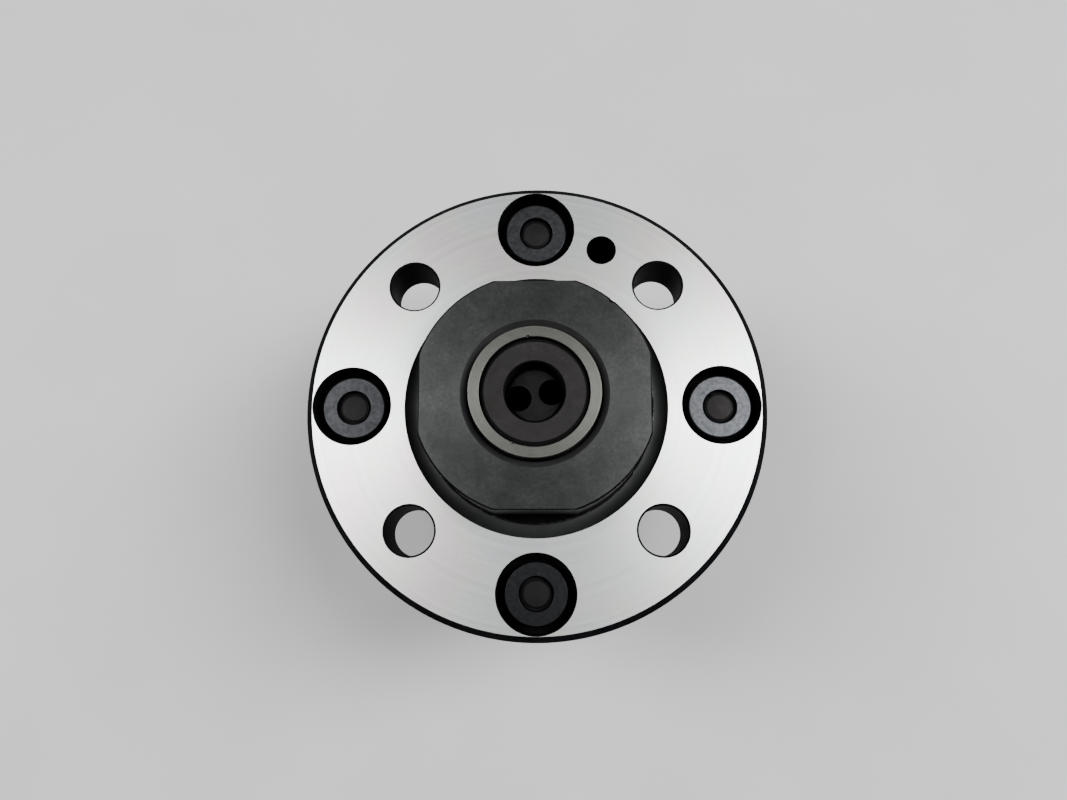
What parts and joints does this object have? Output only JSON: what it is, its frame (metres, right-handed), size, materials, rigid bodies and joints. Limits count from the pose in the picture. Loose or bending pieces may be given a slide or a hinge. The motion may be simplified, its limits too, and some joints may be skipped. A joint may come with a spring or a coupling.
{
  "type": "face mill",
  "caption": "Flange-mounted face mill with a ground mounting ring, centring hub with flats, sprung coolant nose, axial thrust-pad adjusters and an indexable cutter head.",
  "frame": {"origin": "centre of the ground mounting face", "axes": "+Z along the spindle axis, from the cutting edges to the spindle nose; +X through thrust pad 1 and drive key 1; +Y through thrust pad 2"},
  "size_m": [0.1, 0.1, 0.086],
  "materials": {
    "oxide_body": "black oxide, with the mounting ring ground bright",
    "satin_sleeve": "turned satin",
    "seal_rubber": "matt",
    "spring_steel": "drawn wire",
    "brown_screw": "brownish black oxide",
    "grey_disc": "matt grey",
    "oxide_pad": "black oxide, faces lapped grey",
    "adjuster_steel": "brownish black oxide",
    "clip_steel": "blackened spring steel",
    "oxide_cutter": "black oxide",
    "key_steel": "ground and blued",
    "black_fastener": "black oxide",
    "coated_carbide": "gold coated carbide"
  },
  "bodies": {
    "root": {"flange_body": "oxide_body", "sleeve_spring": "spring_steel", "retaining_screw": "brown_screw", "flow_disc": "grey_disc", "cutter_head": "oxide_cutter", "drive_key_1": "key_steel", "drive_key_2": "key_steel", "key_screws": "black_fastener", "arbor_screw": "black_fastener", "cutting_insert_1": "coated_carbide", "cutting_insert_2": "coated_carbide", "cutting_insert_3": "coated_carbide", "cutting_insert_4": "coated_carbide", "insert_screw_1": "black_fastener", "insert_screw_2": "black_fastener", "insert_screw_3": "black_fastener", "insert_screw_4": "black_fastener"},
    "sleeve": {"coolant_sleeve": "satin_sleeve", "sleeve_seal": "seal_rubber"},
    "pad_1": {"thrust_pad_1": "oxide_pad"},
    "screw_1": {"adjusting_screw_1": "adjuster_steel", "pad_clip_1": "clip_steel"},
    "pad_2": {"thrust_pad_2": "oxide_pad"},
    "screw_2": {"adjusting_screw_2": "adjuster_steel", "pad_clip_2": "clip_steel"},
    "pad_3": {"thrust_pad_3": "oxide_pad"},
    "screw_3": {"adjusting_screw_3": "adjuster_steel", "pad_clip_3": "clip_steel"},
    "pad_4": {"thrust_pad_4": "oxide_pad"},
    "screw_4": {"adjusting_screw_4": "adjuster_steel", "pad_clip_4": "clip_steel"}
  },
  "joints": [
    {"name": "sleeve_slide", "type": "slide", "parent": "root", "child": "sleeve", "axis": [0, 0, 1], "range_m": [-0.0015, 0], "stiffness_N_per_m": 8000, "springref_m": 0.003, "deforming": ["sleeve_spring"]},
    {"name": "pad_1_travel", "type": "slide", "parent": "root", "child": "pad_1", "axis": [0, 0, 1], "range_m": [-0.0004, 0.0026]},
    {"name": "screw_1_turn", "type": "hinge", "parent": "pad_1", "child": "screw_1", "pos_m": [0.04, 0, -0.01], "axis": [0, 0, 1], "range_deg": [-144, 936]},
    {"name": "pad_2_travel", "type": "slide", "parent": "root", "child": "pad_2", "axis": [0, 0, 1], "range_m": [-0.0004, 0.0026]},
    {"name": "screw_2_turn", "type": "hinge", "parent": "pad_2", "child": "screw_2", "pos_m": [0, 0.04, -0.01], "axis": [0, 0, 1], "range_deg": [-144, 936]},
    {"name": "pad_3_travel", "type": "slide", "parent": "root", "child": "pad_3", "axis": [0, 0, 1], "range_m": [-0.0004, 0.0026]},
    {"name": "screw_3_turn", "type": "hinge", "parent": "pad_3", "child": "screw_3", "pos_m": [-0.04, 0, -0.01], "axis": [0, 0, 1], "range_deg": [-144, 936]},
    {"name": "pad_4_travel", "type": "slide", "parent": "root", "child": "pad_4", "axis": [0, 0, 1], "range_m": [-0.0004, 0.0026]},
    {"name": "screw_4_turn", "type": "hinge", "parent": "pad_4", "child": "screw_4", "pos_m": [0, -0.04, -0.01], "axis": [0, 0, 1], "range_deg": [-144, 936]}
  ],
  "couplings": [
    {"joint": "screw_1_turn", "follows": "pad_1_travel", "rad_per_m": 6283.2},
    {"joint": "screw_2_turn", "follows": "pad_2_travel", "rad_per_m": 6283.2},
    {"joint": "screw_3_turn", "follows": "pad_3_travel", "rad_per_m": 6283.2},
    {"joint": "screw_4_turn", "follows": "pad_4_travel", "rad_per_m": 6283.2}
  ]
}
